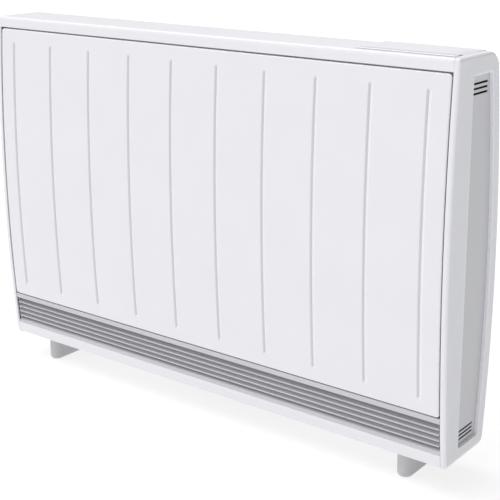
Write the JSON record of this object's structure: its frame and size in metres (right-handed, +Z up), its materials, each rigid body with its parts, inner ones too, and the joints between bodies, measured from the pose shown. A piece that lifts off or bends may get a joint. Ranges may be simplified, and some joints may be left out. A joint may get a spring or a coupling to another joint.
{
  "type": "storage heater",
  "caption": "Wide white storage heater: bowed ribbed steel front over a louvred outlet, slotted end caps, lidded control bay on top and two grey feet; brick core and fan inside.",
  "frame": {"origin": "on the floor under the middle of the footprint", "axes": "+Z up, +X to the right as seen from the front, +Y towards the wall; the ribbed front faces -Y"},
  "size_m": [1.046, 0.185, 0.73],
  "materials": {
    "white_paint": "satin powder coat",
    "white_moulding": "satin moulded plastic",
    "side_plate_paint": "satin powder coat",
    "galvanised_steel": "galvanised sheet",
    "dark_primer": "matt primer",
    "grille_grey": "satin moulded plastic",
    "foot_grey": "satin moulded plastic",
    "screw_steel": "zinc plated",
    "bay_grey": "fine texture",
    "window_black": "polished",
    "board_green": "solder resist",
    "button_white": "fine texture",
    "store_brick": "pressed and fired",
    "element_sheath": "oxidised sheath",
    "insulation_board": "fibrous board",
    "terminal_plastic": "moulded",
    "black_plastic": "moulded",
    "reset_red": "moulded",
    "impeller_aluminium": "rolled",
    "bearing_bronze": "sintered",
    "wire_sleeve": "sleeved"
  },
  "bodies": {
    "heater": {"front_panel": "white_paint", "inner_front_panel": "galvanised_steel", "top_casing": "white_paint", "left_end_cap": "white_moulding", "right_end_cap": "white_moulding", "left_side_plate": "side_plate_paint", "right_side_plate": "side_plate_paint", "left_chassis_side": "dark_primer", "right_chassis_side": "dark_primer", "back_panel": "galvanised_steel", "base_tray": "galvanised_steel", "bottom_rail": "white_paint", "grille_frame": "grille_grey", "louvre_blades": "grille_grey", "left_foot": "foot_grey", "right_foot": "foot_grey", "foot_screws": "screw_steel", "left_wall_bracket": "galvanised_steel", "right_wall_bracket": "galvanised_steel", "case_screws": "screw_steel", "lid_hinge_pins": "screw_steel", "control_tray": "bay_grey", "control_fascia": "bay_grey", "display_window": "window_black", "control_board": "board_green", "bricks_lower": "store_brick", "bricks_middle": "store_brick", "bricks_upper": "store_brick", "heating_element_lower": "element_sheath", "heating_element_middle": "element_sheath", "heating_element_upper": "element_sheath", "insulation_front": "insulation_board", "insulation_back": "insulation_board", "insulation_top": "insulation_board", "insulation_bottom": "insulation_board", "insulation_left": "insulation_board", "insulation_right": "insulation_board", "core_tray": "galvanised_steel", "electrics_plate": "galvanised_steel", "power_board": "board_green", "terminal_block": "terminal_plastic", "thermal_cutout": "black_plastic", "fan_housing": "galvanised_steel", "fan_motor": "galvanised_steel", "fan_bearing": "bearing_bronze", "damper_motor": "terminal_plastic", "boost_element": "element_sheath", "cable_glands": "black_plastic", "wiring_loom": "wire_sleeve", "core_sensor": "element_sheath", "room_sensor": "terminal_plastic"},
    "lid": {"control_lid": "white_moulding"},
    "damper": {"damper_flap": "galvanised_steel"},
    "fan_wheel": {"impeller": "impeller_aluminium"},
    "reset_button": {"cutout_reset_button": "reset_red"},
    "button_menu": {"button_menu": "button_white"},
    "button_back": {"button_back": "button_white"},
    "button_down": {"button_down": "button_white"},
    "button_up": {"button_up": "button_white"},
    "button_boost": {"button_boost": "button_white"}
  },
  "joints": [
    {"name": "lid_hinge", "type": "hinge", "parent": "heater", "child": "lid", "pos_m": [0.4175, 0.0305, 0.7245], "axis": [-1, 0, 0], "range_deg": [0, 100]},
    {"name": "damper_hinge", "type": "hinge", "parent": "heater", "child": "damper", "pos_m": [0, -0.0265, 0.1458], "axis": [1, 0, 0], "range_deg": [0, 50]},
    {"name": "fan_spin", "type": "hinge", "parent": "heater", "child": "fan_wheel", "pos_m": [0, 0.0045, 0.096], "axis": [1, 0, 0], "continuous": true},
    {"name": "reset_press", "type": "slide", "parent": "heater", "child": "reset_button", "axis": [-1, 0, 0], "range_m": [0, 0.0015], "stiffness_N_per_m": 400},
    {"name": "menu_press", "type": "slide", "parent": "heater", "child": "button_menu", "axis": [0, 0, -1], "range_m": [0, 0.0012], "stiffness_N_per_m": 300},
    {"name": "back_press", "type": "slide", "parent": "heater", "child": "button_back", "axis": [0, 0, -1], "range_m": [0, 0.0012], "stiffness_N_per_m": 300},
    {"name": "down_press", "type": "slide", "parent": "heater", "child": "button_down", "axis": [0, 0, -1], "range_m": [0, 0.0012], "stiffness_N_per_m": 300},
    {"name": "up_press", "type": "slide", "parent": "heater", "child": "button_up", "axis": [0, 0, -1], "range_m": [0, 0.0012], "stiffness_N_per_m": 300},
    {"name": "boost_press", "type": "slide", "parent": "heater", "child": "button_boost", "axis": [0, 0, -1], "range_m": [0, 0.0012], "stiffness_N_per_m": 300}
  ]
}
